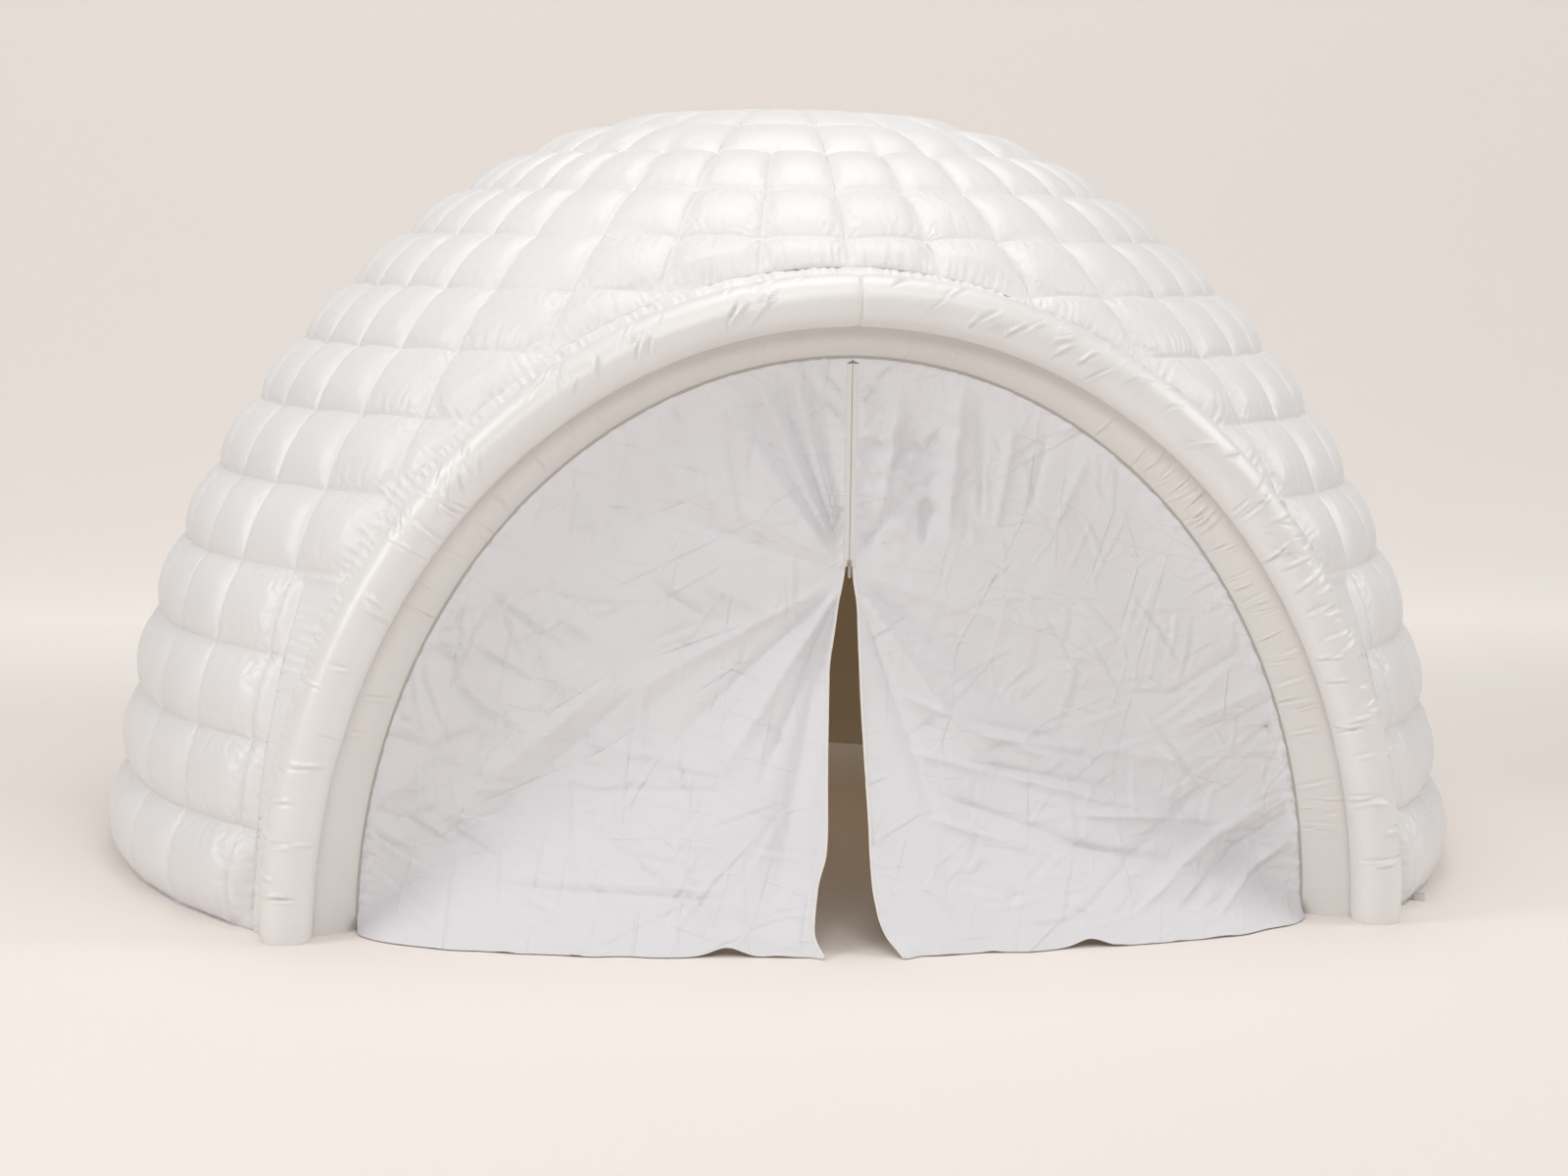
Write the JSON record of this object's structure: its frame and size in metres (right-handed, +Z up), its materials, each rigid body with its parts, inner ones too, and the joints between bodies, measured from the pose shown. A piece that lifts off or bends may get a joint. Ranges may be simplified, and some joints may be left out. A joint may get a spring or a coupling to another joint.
{
  "type": "inflatable tent",
  "caption": "Air-blown quilted dome tent in white satin, with an arched doorway, an arch tube and a two-part cotton curtain with a zip.",
  "frame": {"origin": "on the floor, under the middle of the tent's box", "axes": "+Z up, the doorway faces -Y, +X to the right for someone who looks at the doorway"},
  "size_m": [4.1142, 3.712, 2.2477],
  "materials": {
    "satin": "cool white satin, sewn in a quilt, soft sheen",
    "lining": "warm off-white plain weave, matte",
    "cotton": "cool white cotton, crumpled, matte",
    "base_cloth": "grey coated base cloth, matte",
    "piping": "dark grey beige bias piping, matte",
    "webbing": "white woven webbing",
    "zip_tape": "cream woven tape with a moulded coil",
    "zip_metal": "dull nickel"
  },
  "bodies": {
    "root": {"outer_crown_cap": "satin", "outer_front_panel": "satin", "outer_gore_left_1": "satin", "outer_gore_left_2": "satin", "outer_gore_left_3": "satin", "outer_gore_right_1": "satin", "outer_gore_right_2": "satin", "outer_gore_right_3": "satin", "lining_crown_cap": "lining", "lining_front_panel": "lining", "lining_gore_left_1": "lining", "lining_gore_left_2": "lining", "lining_gore_left_3": "lining", "lining_gore_right_1": "lining", "lining_gore_right_2": "lining", "lining_gore_right_3": "lining", "web_front_left": "lining", "web_front_right": "lining", "web_side_left": "lining", "web_side_right": "lining", "web_rear_left": "lining", "web_rear_right": "lining", "web_rear_centre": "lining", "base_panel_left_1": "base_cloth", "base_panel_left_2": "base_cloth", "base_panel_left_3": "base_cloth", "base_panel_right_1": "base_cloth", "base_panel_right_2": "base_cloth", "base_panel_right_3": "base_cloth", "hem_binding_left": "satin", "hem_binding_right": "satin", "arch_tube_left": "satin", "arch_tube_right": "satin", "collar_left": "satin", "collar_right": "satin", "reveal_band_left": "satin", "reveal_band_right": "satin", "door_piping_left": "piping", "door_piping_right": "piping", "jamb_lining_left": "lining", "jamb_lining_right": "lining", "curtain_left_upper": "cotton", "curtain_right_upper": "cotton", "zip_half_left": "zip_tape", "zip_half_right": "zip_tape", "zip_top_stop": "zip_metal", "inlet_sleeve": "satin", "sleeve_tie": "webbing", "anchor_loop_front_right": "webbing", "anchor_loop_rear_left": "webbing", "anchor_loop_rear_right": "webbing"},
    "flap_left": {"curtain_left_flap": "cotton", "slit_edge_left": "zip_tape"},
    "flap_right": {"curtain_right_flap": "cotton", "slit_edge_right": "zip_tape"},
    "slider": {"zip_slider": "zip_metal", "slider_lug": "zip_metal"},
    "pull": {"slider_pull": "zip_metal"}
  },
  "joints": [
    {"name": "flap_left_fold", "type": "hinge", "parent": "root", "child": "flap_left", "pos_m": [-0.0152, -1.52108, 0.985], "axis": [-0.8088, 0.0364, -0.587], "range_deg": [0, 70]},
    {"name": "flap_right_fold", "type": "hinge", "parent": "root", "child": "flap_right", "pos_m": [0.0152, -1.52108, 0.985], "axis": [-0.8088, -0.0364, 0.587], "range_deg": [0, 70]},
    {"name": "zip_travel", "type": "slide", "parent": "root", "child": "slider", "axis": [0, 0, 1], "range_m": [0, 0.52]},
    {"name": "pull_swing", "type": "hinge", "parent": "slider", "child": "pull", "pos_m": [0, -1.52688, 0.994], "axis": [-1, 0, 0], "range_deg": [0, 160]}
  ]
}
